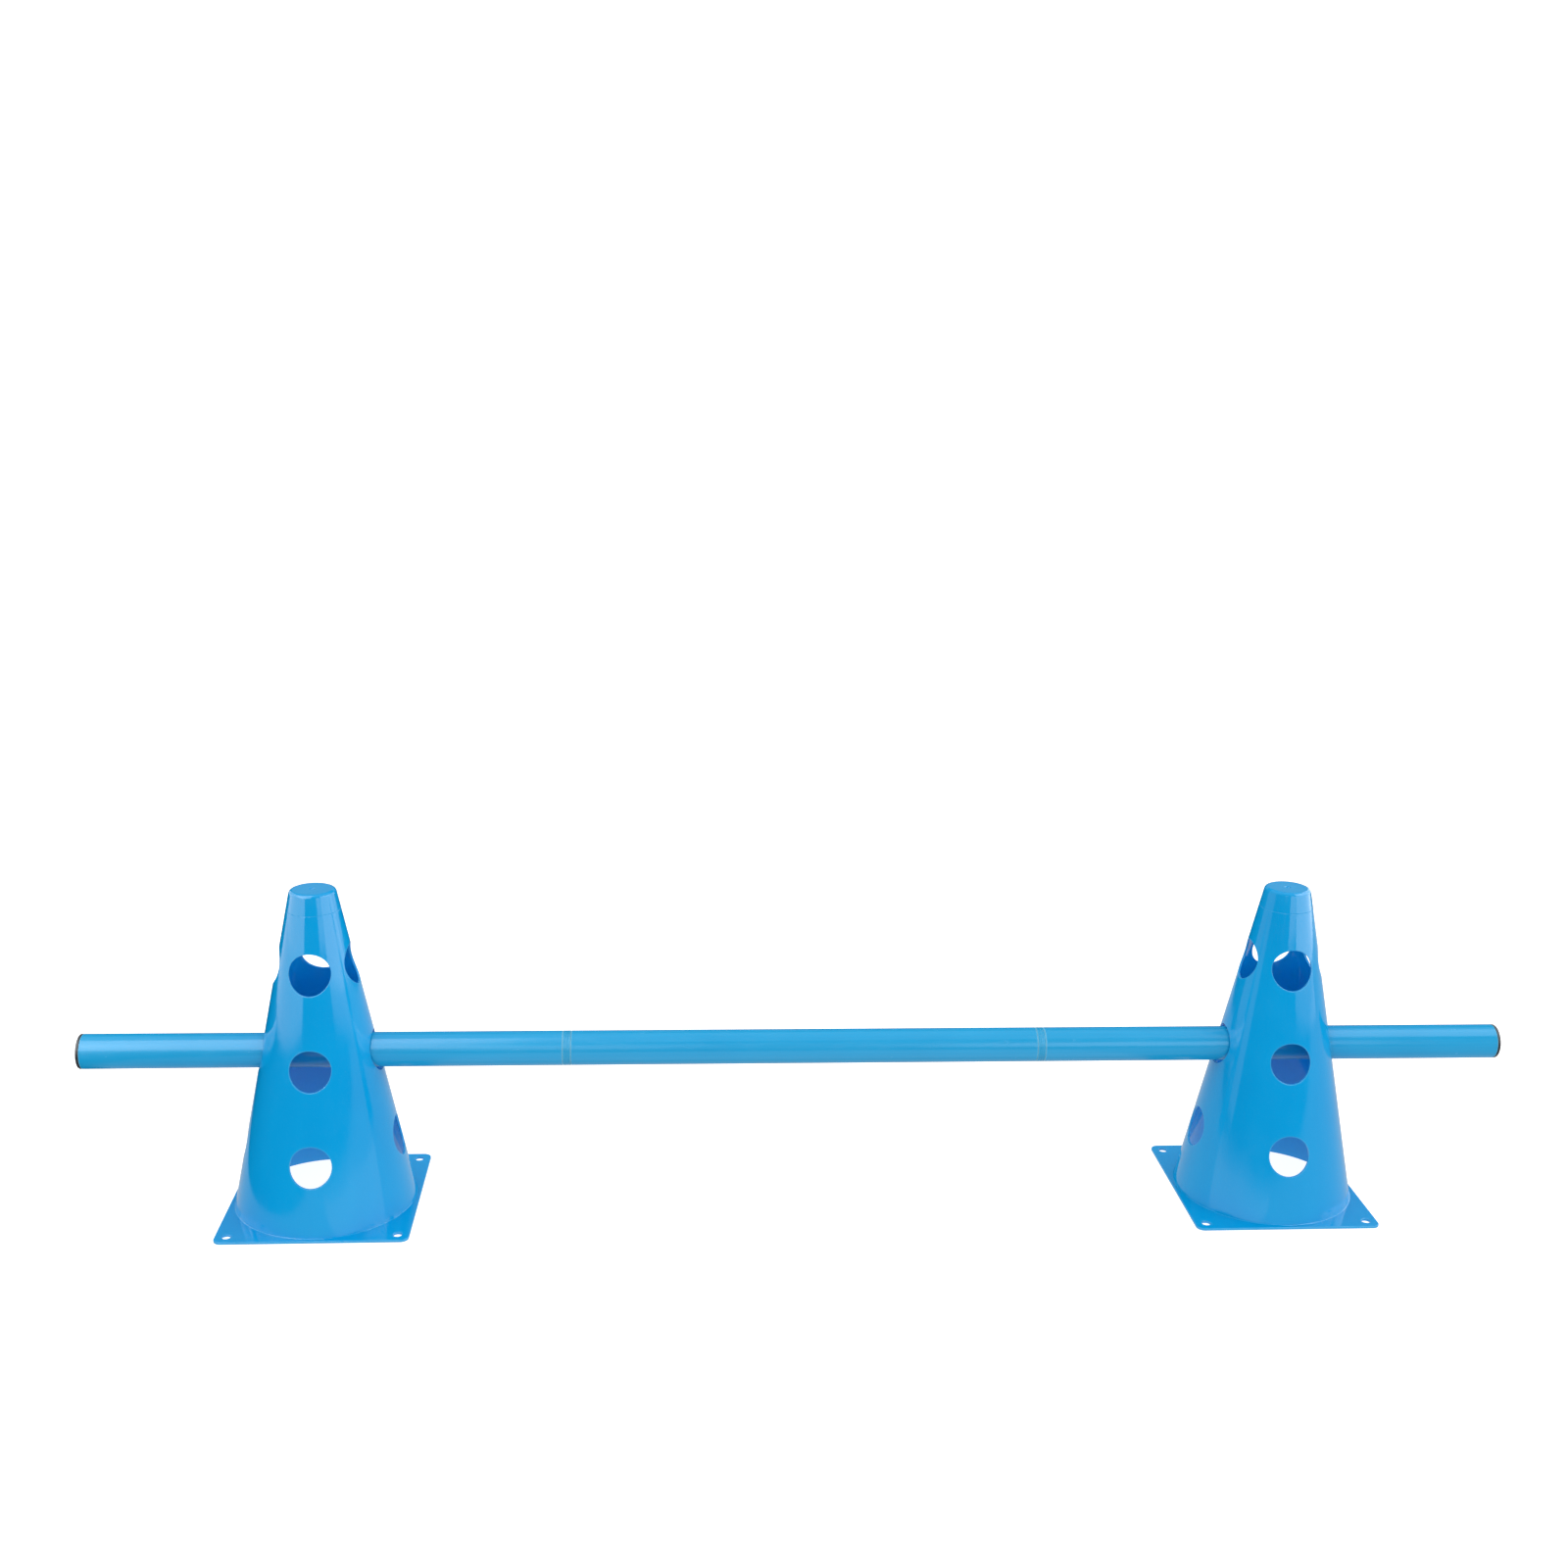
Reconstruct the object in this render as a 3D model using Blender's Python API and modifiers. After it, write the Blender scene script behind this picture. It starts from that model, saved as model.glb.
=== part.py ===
"""Agility hurdle: two hollow perforated cones that carry a jump pole.

The pole comes apart into three tubes. A plug with a flush collar joins each pair of tubes,
and a cap closes each end. Each cone has three rows of four round windows, so the pole can
lie at three heights: it is modelled in the middle row.

Metres, +Z up, the pole along X. The origin is on the floor under the middle of the pole.
"""

import math

import bmesh
import bpy

# Pole: three tubes of equal length
POLE_LENGTH = 1.000
POLE_DIAMETER = 0.024
POLE_WALL = 0.0012
COLLAR_WIDTH = 0.0055
SPIGOT_LENGTH = 0.035
SPIGOT_WALL = 0.0016
SPIGOT_CHAMFER = 0.001
CAP_HEAD = 0.0025
CAP_ROUNDING = 0.0016
CAP_PLUG_LENGTH = 0.012
CAP_WALL = 0.0014

# Cones: each is a tapered shell on a thin square base
POLE_OVERHANG = 0.163
CONE_HEIGHT = 0.230
CONE_TOP_RADIUS = 0.0155
CONE_TOP_ROUNDING = 0.003
CONE_WALL = 0.0015
CONE_ROOF = 0.0018
BASE_SIDE = 0.1305
BASE_THICKNESS = 0.0018
BASE_CORNER_RADIUS = 0.0055
BASE_MARGIN = 0.00275
PEG_HOLE_DIAMETER = 0.006
PEG_HOLE_INSET = 0.008

# Windows: the lowest and the highest row are placed from the floor and from the cone's top
LOWEST_WINDOW = 0.049
WINDOW_TOP_MARGIN = 0.053

# Clearances
WINDOW_CLEARANCE = 0.002
FIT_GAP = 0.0003
CUT_EXCESS = 0.004

# Facets
CONE_STEPS = 48
POLE_STEPS = 32
WINDOW_SIDES = 24
PEG_HOLE_SIDES = 16
ROUNDING_STEPS = 4

# Sizes that follow from the ones above
POLE_RADIUS = POLE_DIAMETER / 2
BORE_RADIUS = POLE_RADIUS - POLE_WALL
PLUG_RADIUS = BORE_RADIUS - FIT_GAP
SECTION_NAMES = ("pole_left", "pole_middle", "pole_right")
SECTION_COUNT = len(SECTION_NAMES)
COLLARS_LENGTH = (SECTION_COUNT - 1) * COLLAR_WIDTH
GAPS_LENGTH = 2 * SECTION_COUNT * FIT_GAP
SECTION_LENGTH = (POLE_LENGTH - 2 * CAP_HEAD - COLLARS_LENGTH - GAPS_LENGTH) / SECTION_COUNT
SECTION_PITCH = SECTION_LENGTH + COLLAR_WIDTH + 2 * FIT_GAP

CONE_X = POLE_LENGTH / 2 - POLE_OVERHANG
CONE_FOOT_RADIUS = BASE_SIDE / 2 - BASE_MARGIN
CONE_TAPER = (CONE_FOOT_RADIUS - CONE_TOP_RADIUS) / (CONE_HEIGHT - BASE_THICKNESS)
CONE_HALF_ANGLE = math.atan(CONE_TAPER)
WINDOW_RADIUS = POLE_RADIUS + WINDOW_CLEARANCE
WINDOW_PITCH = (CONE_HEIGHT - WINDOW_TOP_MARGIN - LOWEST_WINDOW) / 2
WINDOW_HEIGHTS = [LOWEST_WINDOW + row * WINDOW_PITCH for row in range(3)]
POLE_HEIGHT = WINDOW_HEIGHTS[1]
PEG_HOLE_OFFSET = BASE_SIDE / 2 - PEG_HOLE_INSET

# Colours of the plastics
CONE_BLUE = (0.008, 0.310, 0.716)
POLE_BLUE = (0.022, 0.340, 0.680)
COLLAR_BLUE = (0.040, 0.330, 0.660)
CAP_BLACK = (0.012, 0.015, 0.022)


def clear_scene():
    for obj in list(bpy.data.objects):
        bpy.data.objects.remove(obj, do_unlink=True)


def make_collection(name):
    collection = bpy.data.collections.new(name)
    bpy.context.scene.collection.children.link(collection)
    return collection


def make_material(name, colour, roughness):
    material = bpy.data.materials.new(name)
    material.use_nodes = True
    shader = material.node_tree.nodes["Principled BSDF"]
    shader.inputs["Base Color"].default_value = (*colour, 1.0)
    shader.inputs["Roughness"].default_value = roughness
    shader.inputs["Metallic"].default_value = 0.0
    material.diffuse_color = (*colour, 1.0)
    return material


def add_object(name, mesh, collection, parent=None, location=(0, 0, 0), rotation=(0, 0, 0)):
    obj = bpy.data.objects.new(name, mesh)
    collection.objects.link(obj)
    obj.parent = parent
    obj.location = location
    obj.rotation_euler = rotation
    return obj


def profile_mesh(name, points, closed):
    """A line of (radius, height) points in the XZ plane, ready to be turned about Z."""
    count = len(points)
    edges = [(i, i + 1) for i in range(count - 1)]
    if closed:
        edges.append((count - 1, 0))
    mesh = bpy.data.meshes.new(name)
    mesh.from_pydata([(radius, 0.0, height) for radius, height in points], edges, [])
    return mesh


def turn(obj, steps):
    screw = obj.modifiers.new("Turn", 'SCREW')
    screw.axis = 'Z'
    screw.angle = 2 * math.pi
    screw.steps = steps
    screw.render_steps = steps
    screw.use_merge_vertices = True
    screw.merge_threshold = 0.00001
    screw.use_smooth_shade = True


def rounded_corner(centre_x, centre_z, radius, start, end):
    """Points on an arc about a centre, from one angle to another, in radians."""
    angles = [start + (end - start) * i / ROUNDING_STEPS for i in range(ROUNDING_STEPS + 1)]
    return [(centre_x + radius * math.cos(a), centre_z + radius * math.sin(a)) for a in angles]


def cone_radius(height, inset):
    """Radius of the tapered side at a height, moved in by an inset square to the side."""
    outer = CONE_TOP_RADIUS + (CONE_HEIGHT - height) * CONE_TAPER
    return outer - inset / math.cos(CONE_HALF_ANGLE)


def cone_profile(top, bottom, inset, rounding):
    """A solid cone's outline: flat top, rounded edge, straight taper, flat bottom."""
    centre_z = top - rounding
    centre_x = cone_radius(centre_z, inset + rounding)
    corner = rounded_corner(centre_x, centre_z, rounding, math.pi / 2, CONE_HALF_ANGLE)
    return [(0.0, top), *corner, (cone_radius(bottom, inset), bottom), (0.0, bottom)]


def add_boolean(obj, operation, operand):
    boolean = obj.modifiers.new(operand.name, 'BOOLEAN')
    boolean.operation = operation
    boolean.solver = 'EXACT'
    boolean.object = operand


def hide_cutter(obj):
    obj.hide_render = True
    obj.display_type = 'WIRE'


def make_base_plate(name, collection, parent):
    """The square base: a flat box with rounded upright corners."""
    bm = bmesh.new()
    bmesh.ops.create_cube(bm, size=1.0)
    bmesh.ops.scale(bm, vec=(BASE_SIDE, BASE_SIDE, BASE_THICKNESS), verts=bm.verts)
    bmesh.ops.translate(bm, vec=(0.0, 0.0, BASE_THICKNESS / 2), verts=bm.verts)
    upright = [e for e in bm.edges if abs(e.verts[0].co.z - e.verts[1].co.z) > BASE_THICKNESS / 2]
    bmesh.ops.bevel(
        bm,
        geom=upright,
        offset=BASE_CORNER_RADIUS,
        offset_type='OFFSET',
        segments=ROUNDING_STEPS,
        profile=0.5,
        affect='EDGES',
    )
    mesh = bpy.data.meshes.new(name)
    bm.to_mesh(mesh)
    bm.free()
    plate = add_object(name, mesh, collection, parent)
    hide_cutter(plate)
    return plate


def make_round_cutter(name, collection, parent, radius, length, sides, location, rotation):
    """A cylinder along its own Z, centred on its location."""
    bm = bmesh.new()
    bmesh.ops.create_cone(
        bm, cap_ends=True, segments=sides, radius1=radius, radius2=radius, depth=length
    )
    mesh = bpy.data.meshes.new(name)
    bm.to_mesh(mesh)
    bm.free()
    cutter = add_object(name, mesh, collection, parent, location, rotation)
    hide_cutter(cutter)
    return cutter


def make_hollow_cutter(name, collection, parent):
    """The inside of the cone, open through the underside of the base."""
    profile = cone_profile(
        top=CONE_HEIGHT - CONE_ROOF,
        bottom=-CUT_EXCESS,
        inset=CONE_WALL,
        rounding=max(CONE_TOP_ROUNDING - CONE_WALL, CONE_WALL),
    )
    cutter = add_object(name, profile_mesh(name, profile, closed=False), collection, parent)
    turn(cutter, CONE_STEPS)
    hide_cutter(cutter)
    return cutter


def make_cone(name, x, parts, cutters, material):
    """One cone: a turned solid joined to its base, hollowed, then cut by windows and peg holes."""
    profile = cone_profile(
        top=CONE_HEIGHT, bottom=BASE_THICKNESS / 2, inset=0.0, rounding=CONE_TOP_ROUNDING
    )
    mesh = profile_mesh(name, profile, closed=False)
    mesh.materials.append(material)
    cone = add_object(name, mesh, parts, location=(x, 0.0, 0.0))
    turn(cone, CONE_STEPS)
    add_boolean(cone, 'UNION', make_base_plate(f"{name}_base_plate", cutters, cone))
    add_boolean(cone, 'DIFFERENCE', make_hollow_cutter(f"{name}_hollow", cutters, cone))

    window_length = 2 * (CONE_FOOT_RADIUS + CUT_EXCESS)
    directions = {"x": (0.0, math.pi / 2, 0.0), "y": (math.pi / 2, 0.0, 0.0)}
    for row, height in enumerate(WINDOW_HEIGHTS):
        for letter, rotation in directions.items():
            window = make_round_cutter(
                f"{name}_windows_{letter}{row}",
                cutters,
                cone,
                WINDOW_RADIUS,
                window_length,
                WINDOW_SIDES,
                (0.0, 0.0, height),
                rotation,
            )
            add_boolean(cone, 'DIFFERENCE', window)

    for side_x in (-1, 1):
        for side_y in (-1, 1):
            peg_hole = make_round_cutter(
                f"{name}_peg_hole_{side_x + 1}{side_y + 1}",
                cutters,
                cone,
                PEG_HOLE_DIAMETER / 2,
                BASE_THICKNESS + 2 * CUT_EXCESS,
                PEG_HOLE_SIDES,
                (side_x * PEG_HOLE_OFFSET, side_y * PEG_HOLE_OFFSET, BASE_THICKNESS / 2),
                (0.0, 0.0, 0.0),
            )
            add_boolean(cone, 'DIFFERENCE', peg_hole)
    return cone


def tube_profile():
    half = SECTION_LENGTH / 2
    return [(POLE_RADIUS, half), (POLE_RADIUS, -half), (BORE_RADIUS, -half), (BORE_RADIUS, half)]


def connector_profile():
    """A hollow plug: a spigot each way from a collar as wide as the tubes."""
    collar = COLLAR_WIDTH / 2
    end = collar + SPIGOT_LENGTH
    nose = PLUG_RADIUS - SPIGOT_CHAMFER
    bore = PLUG_RADIUS - SPIGOT_WALL
    return [
        (bore, end),
        (nose, end),
        (PLUG_RADIUS, end - SPIGOT_CHAMFER),
        (PLUG_RADIUS, collar),
        (POLE_RADIUS, collar),
        (POLE_RADIUS, -collar),
        (PLUG_RADIUS, -collar),
        (PLUG_RADIUS, SPIGOT_CHAMFER - end),
        (nose, -end),
        (bore, -end),
    ]


def cap_profile():
    """An end cap: a rounded head over a hollow plug. Height 0 is the head's outer face."""
    rim = POLE_RADIUS - CAP_ROUNDING
    head = rounded_corner(rim, -CAP_ROUNDING, CAP_ROUNDING, math.pi / 2, 0.0)
    plug_end = -CAP_HEAD - CAP_PLUG_LENGTH
    inside = PLUG_RADIUS - CAP_WALL
    return [
        (0.0, 0.0),
        *head,
        (POLE_RADIUS, -CAP_HEAD),
        (PLUG_RADIUS, -CAP_HEAD),
        (PLUG_RADIUS, plug_end),
        (inside, plug_end),
        (inside, -CAP_HEAD),
        (0.0, -CAP_HEAD),
    ]


def make_pole(parts, materials):
    """The pole's pieces stand along the Z of an empty that is turned to lie along X."""
    axis = add_object("pole_axis", None, parts)
    axis.location = (0.0, 0.0, POLE_HEIGHT)
    axis.rotation_euler = (0.0, math.pi / 2, 0.0)

    upright = (0.0, 0.0, 0.0)
    flipped = (math.pi, 0.0, 0.0)
    end = POLE_LENGTH / 2
    pieces = [
        ("left_connector", connector_profile(), True, "collar", -SECTION_PITCH / 2, upright),
        ("right_connector", connector_profile(), True, "collar", SECTION_PITCH / 2, upright),
        ("left_end_cap", cap_profile(), False, "cap", -end, flipped),
        ("right_end_cap", cap_profile(), False, "cap", end, upright),
    ]
    for index, name in enumerate(SECTION_NAMES):
        along = (index - (SECTION_COUNT - 1) / 2) * SECTION_PITCH
        pieces.append((name, tube_profile(), True, "pole", along, upright))

    for name, profile, closed, finish, along, rotation in pieces:
        mesh = profile_mesh(name, profile, closed)
        mesh.materials.append(materials[finish])
        piece = add_object(name, mesh, parts, axis, (0.0, 0.0, along), rotation)
        turn(piece, POLE_STEPS)


def main():
    clear_scene()
    parts = make_collection("agility_hurdle")
    cutters = make_collection("cutters")
    materials = {
        "cone": make_material("cone_plastic", CONE_BLUE, 0.28),
        "pole": make_material("pole_plastic", POLE_BLUE, 0.38),
        "collar": make_material("collar_plastic", COLLAR_BLUE, 0.42),
        "cap": make_material("cap_plastic", CAP_BLACK, 0.45),
    }
    make_cone("left_cone", -CONE_X, parts, cutters, materials["cone"])
    make_cone("right_cone", CONE_X, parts, cutters, materials["cone"])
    make_pole(parts, materials)


main()
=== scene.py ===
import math

import bpy
import numpy as np
from mathutils import Matrix, Vector


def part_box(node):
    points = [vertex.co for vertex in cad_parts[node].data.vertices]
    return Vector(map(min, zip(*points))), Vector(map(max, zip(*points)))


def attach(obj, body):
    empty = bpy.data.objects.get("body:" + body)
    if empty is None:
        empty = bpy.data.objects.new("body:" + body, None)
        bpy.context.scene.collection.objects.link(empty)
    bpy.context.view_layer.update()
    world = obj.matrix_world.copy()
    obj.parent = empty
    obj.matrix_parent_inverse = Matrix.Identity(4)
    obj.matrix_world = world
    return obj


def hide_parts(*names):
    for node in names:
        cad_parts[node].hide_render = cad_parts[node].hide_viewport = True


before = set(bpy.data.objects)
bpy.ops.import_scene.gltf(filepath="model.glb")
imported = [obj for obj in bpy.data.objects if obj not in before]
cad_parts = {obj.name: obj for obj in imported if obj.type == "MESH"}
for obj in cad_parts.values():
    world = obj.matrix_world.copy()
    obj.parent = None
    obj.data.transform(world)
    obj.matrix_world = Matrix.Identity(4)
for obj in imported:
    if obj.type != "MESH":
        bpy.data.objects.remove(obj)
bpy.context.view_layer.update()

quarterTurn = math.pi / 2


class Wire:
    # an output socket that takes + - and *, also with numbers; each sign adds one Math node
    def __init__(self, nodes, socket):
        self.nodes = nodes
        self.socket = socket

    def reckon(self, operation, first, second):
        return self.nodes.node("ShaderNodeMath", {"operation": operation}, {0: first, 1: second})

    def __add__(self, other):
        return self.reckon("ADD", self, other)

    def __sub__(self, other):
        return self.reckon("SUBTRACT", self, other)

    def __rsub__(self, other):
        return self.reckon("SUBTRACT", other, self)

    def __mul__(self, other):
        return self.reckon("MULTIPLY", self, other)

    __radd__ = __add__
    __rmul__ = __mul__


class Nodes:
    # a tree of shader nodes; every node comes from its type, settings and sockets' values or links
    def __init__(self, tree):
        self.tree = tree

    def node(self, kind, settings=None, inputs=None, output=0):
        made = self.tree.nodes.new(kind)
        for name, value in (settings or {}).items():
            if name == "stops":
                self.fillRamp(made.color_ramp, value)
            else:
                setattr(made, name, value)
        for name, value in (inputs or {}).items():
            self.put(made.inputs[name], value)
        return Wire(self, made.outputs[output])

    def put(self, socket, value):
        if isinstance(value, Wire):
            self.tree.links.new(value.socket, socket)
        else:
            socket.default_value = value

    def fillRamp(self, ramp, stops):
        while len(ramp.elements) < len(stops):
            ramp.elements.new(0.5)
        for element, (place, level) in zip(ramp.elements, stops):
            element.position = place
            element.color = (level, level, level, 1.0)


class Finish(Nodes):
    # a material with one Principled shader and the nodes that feed it
    def __init__(self, name, constants):
        self.material = bpy.data.materials.new(name)
        self.material.use_nodes = True
        super().__init__(self.material.node_tree)
        self.shader = self.tree.nodes["Principled BSDF"]
        for socket, value in constants.items():
            self.feed(socket, value)

    def feed(self, socket, value):
        self.put(self.shader.inputs[socket], value)

    def place(self, stretch=(1.0, 1.0, 1.0)):
        # object coordinates, scaled along each axis, so that a small scale draws a pattern out
        here = self.node("ShaderNodeTexCoord", output="Object")
        return self.node("ShaderNodeMapping", {}, {"Vector": here, "Scale": stretch})

    def noise(self, where, scale, detail=2.0, rough=0.5, twist=0.0):
        inputs = {"Vector": where, "Scale": scale, "Detail": detail}
        inputs.update({"Roughness": rough, "Distortion": twist})
        return self.node("ShaderNodeTexNoise", {}, inputs)

    def ramp(self, value, *stops):
        # grey ramp: each stop is (place, level)
        return self.node("ShaderNodeValToRGB", {"stops": stops}, {0: value})

    def mask(self, name):
        return self.node("ShaderNodeAttribute", {"attribute_name": name}, output="Fac")

    def blend(self, share, first, second):
        # colour mix: share 0 gives the first colour, 1 the second; 6, 7 and 2 are its colour sockets
        first, second = (c if isinstance(c, Wire) else (*c, 1.0) for c in (first, second))
        inputs = {0: share, 6: first, 7: second}
        return self.node("ShaderNodeMix", {"data_type": "RGBA"}, inputs, output=2)

    def bump(self, height, depth, under=None):
        inputs = {"Height": height, "Distance": depth, "Strength": 1.0}
        if under is not None:
            inputs["Normal"] = under
        return self.node("ShaderNodeBump", {}, inputs)


def ringFaces(rows, columns, closedRows):
    # Quad (row, column), (row, column + 1), (row + 1, column + 1), (row + 1, column).
    # The columns always close on themselves, and the rows when asked to.
    row = np.arange(rows if closedRows else rows - 1)[:, None]
    column = np.arange(columns)[None, :]
    nextRow = (row + 1) % rows
    nextColumn = (column + 1) % columns
    corners = (row * columns + column, row * columns + nextColumn)
    corners += (nextRow * columns + nextColumn, nextRow * columns + column)
    return np.stack(np.broadcast_arrays(*corners), axis=-1).reshape(-1, 4)


def patch(points, normals, masks, closedRows=False):
    # Points and normals are rows x columns x 3, masks rows x columns.
    # The faces are turned round where diagonal x diagonal points against the normals.
    faces = ringFaces(points.shape[0], points.shape[1], closedRows)
    points, normals = points.reshape(-1, 3), normals.reshape(-1, 3)
    across = points[faces[:, 2]] - points[faces[:, 0]]
    along = points[faces[:, 3]] - points[faces[:, 1]]
    facing = np.cross(across, along)
    if np.sum(facing * normals[faces].mean(axis=1)) < 0:
        faces = faces[:, ::-1]
    return points, normals, {name: m.reshape(-1) for name, m in masks.items()}, faces


def weld(patches, grain=1e-6):
    # Vertices in one cell of a grid as fine as the grain (metres) become one.
    # Its normal is the sum of theirs, made unit length, and its masks are their mean.
    cellShift = 0.37                   # keeps round sizes off the edges of cells
    points = np.concatenate([p[0] for p in patches])
    starts = np.cumsum([0] + [len(p[0]) for p in patches[:-1]])
    faces = np.concatenate([p[3] + s for p, s in zip(patches, starts)])
    keys = np.floor(points / grain + cellShift).astype(np.int64)
    found, first, inverse = np.unique(keys, axis=0, return_index=True, return_inverse=True)
    inverse = inverse.reshape(-1)
    count = len(found)
    normals = np.zeros((count, 3))
    np.add.at(normals, inverse, np.concatenate([p[1] for p in patches]))
    shares = np.bincount(inverse, minlength=count)
    masks = {}
    for name in patches[0][2]:
        values = np.concatenate([p[2][name] for p in patches])
        masks[name] = np.bincount(inverse, weights=values, minlength=count) / shares
    return points[first], unit(normals), masks, inverse[faces]


def unit(vectors):
    return vectors / np.linalg.norm(vectors, axis=-1, keepdims=True)


def makePiece(name, patches, finish, body):
    # One closed mesh from welded patches, with exact normals and one float attribute per mask.
    # A quad with one corner repeated becomes a triangle, and one with more is dropped.
    points, normals, masks, faces = weld(patches)
    repeated = faces == np.roll(faces, -1, axis=1)
    whole = ~repeated.any(axis=1)
    folded = faces[repeated.sum(axis=1) == 1]
    kept = ~(folded == np.roll(folded, -1, axis=1))
    triangles = folded[kept].reshape(-1, 3)
    mesh = bpy.data.meshes.new(name)
    mesh.from_pydata(points.tolist(), [], faces[whole].tolist() + triangles.tolist())
    mesh.polygons.foreach_set("use_smooth", np.ones(len(mesh.polygons), bool))
    for mask, values in masks.items():
        attribute = mesh.attributes.new(mask, "FLOAT", "POINT")
        attribute.data.foreach_set("value", values.astype(np.float32))
    mesh.normals_split_custom_set_from_vertices(normals.tolist())
    mesh.materials.append(finish.material)
    piece = bpy.data.objects.new(name, mesh)
    bpy.context.scene.collection.objects.link(piece)
    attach(piece, body)
    return piece


def roundedProfile(corners, closed=False, steps=5):
    # Corners are (radius, height, rounding, sheen and wear): the last is the share of pale colour
    # on that edge, a painted highlight on the blue parts and wear on the black caps. The outward side
    # is on the right of the way travelled. With n turning from normal n1 before a corner to n2 after
    # it, an arc point is corner + side * rounding * (n - (n1 + n2) / (1 + n1.n2)).
    corners = np.array(corners, float)
    places = corners[:, :2]
    ways = unit(np.roll(places, -1, axis=0) - places)
    facing = np.stack([ways[:, 1], -ways[:, 0]], axis=1)
    points, normals, sheenAndWear = [], [], []
    for i, (place, rounding, paleSheenAndWear) in enumerate(zip(places, corners[:, 2], corners[:, 3])):
        before, after = facing[i - 1], facing[i]
        atEnd = not closed and i in (0, len(places) - 1)
        if atEnd or rounding == 0:
            end = after if i == 0 else before
            points.append(place[None])
            normals.append(end[None] if atEnd else unit(before + after)[None])
            sheenAndWear.append([paleSheenAndWear])
            continue
        turn = math.atan2(before[0] * after[1] - before[1] * after[0], before @ after)
        angles = math.atan2(before[1], before[0]) + turn * np.linspace(0, 1, steps + 1)
        n = np.stack([np.cos(angles), np.sin(angles)], axis=1)
        side = 1.0 if turn > 0 else -1.0
        points.append(place + side * rounding * (n - (before + after) / (1 + before @ after)))
        normals.append(n)
        sheenAndWear.append([paleSheenAndWear] * (steps + 1))
    return np.concatenate(points), np.concatenate(normals), np.concatenate(sheenAndWear)


def turned(profile, centre, axis, around, closed=False, inside=0.0):
    # point = centre + height * axis + radius * (cos a * first + sin a * second), a once round
    points, normals, sheenAndWear = profile
    a = 2 * np.pi * np.arange(around) / around
    frames = {"x": ((0, 1, 0), (0, 0, 1), (1, 0, 0)), "z": ((1, 0, 0), (0, 1, 0), (0, 0, 1))}
    first, second, along = (np.array(v, float) for v in frames[axis])
    out = np.cos(a)[:, None] * first + np.sin(a)[:, None] * second
    grid = points[:, 0, None, None] * out + points[:, 1, None, None] * along + np.array(centre)
    facing = normals[:, 0, None, None] * out + normals[:, 1, None, None] * along
    paleSheenAndWear = np.repeat(np.array(sheenAndWear, float)[:, None], around, axis=1)
    return patch(grid, facing, {"edge": paleSheenAndWear, "inside": np.full(paleSheenAndWear.shape, inside)}, closed)


low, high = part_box("left_cone")
coneShape = {
    "height": high.z - low.z,
    "half": (high.x - low.x) / 2,      # half of the square base
    "topRadius": 0.0155,
    "footMargin": 0.00275,             # the foot of the taper, in from the edge of the base
    "plate": 0.0018,
    "wall": 0.0015,
    "roof": 0.0018,
    "topRounding": 0.003,
    "footFillet": 0.0006,
    "footLand": 0.0011,                # flat ring kept round the foot, before the base's faces
    "mouthLand": 0.0008,               # and round the open mouth underneath
    "mouthRounding": 0.0003,
    "cornerRadius": 0.0055,
    "cornerSteps": 12,
    "sideSteps": 6,                    # faces along half of a side of the base
    "edgeRounding": 0.0004,
    # share of the pale painted highlight on the base's edge roundings
    "edgeSteps": 4,
    "edgeSheen": 0.8,
    "windowRadius": 0.014,
    "windowHeights": (0.049, 0.113, 0.177),
    "rowEdges": (0.020, 0.081, 0.145, 0.204),
    "windowRim": 0.0003,
    "windowSteps": 5,
    "windowRings": 12,                 # rings of wall between a window and its tile's border
    "windowCrowd": 1.5,                # above 1 draws the rings in towards the window
    "pegInset": 0.008,
    "pegRadius": 0.003,
    "pegRim": 0.00035,
    "pegSteps": 4,
    "pegRings": 9,
    "pegCrowd": 1.6,
    "seamDrop": 0.014,                 # the mould's parting line, down from the top
    "seamDepth": 0.00007,
    "seamWidth": 0.0007,
    "seamShoulder": 0.0008,            # rounding on each side of the line
    "seamRounding": 0.0003,
    "gateRadius": 0.0022,              # the mark that the mould's gate left on the top
    "gateDepth": 0.00035,
    "gateSlope": 0.0003,
    "gateRounding": 0.0003,
    "gateFillet": 0.0002,
    "pipRadius": 0.0009,               # the cut stub in the middle of that mark
    "pipSlope": 0.0002,
    "pipDrop": 0.0001,
    "pipRounding": 0.0001,
    "perSide": 24,                     # columns on a quarter of the cone
}


def coneTaper(s):
    # taper = (foot radius - top radius) / rise from the base plate to the top
    return (s["half"] - s["footMargin"] - s["topRadius"]) / (s["height"] - s["plate"])


def coneRadius(s, height, inset=0.0):
    # radius = top radius + taper * drop from the top - inset / cos(half angle)
    k = coneTaper(s)
    return s["topRadius"] + (s["height"] - height) * k - inset * math.hypot(1, k)


def rimTurns(count, perSide):
    # Angles round a hole. The first faces the border's lower left corner, and each side of the
    # border gets its share: -90 degrees - 180 * side's share, and on by 360 / count.
    return -quarterTurn - math.pi * perSide / count + 2 * np.pi * np.arange(count) / count


def quarterRows(quarter, side=1.0):
    # rows (first, second, up) of a frame turned by quarters about Z; side -1 mirrors the second
    turn = quarter * quarterTurn
    c, n = math.cos(turn), math.sin(turn)
    return np.array([(c, n, 0.0), (-side * n, side * c, 0.0), (0.0, 0.0, 1.0)])


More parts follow.
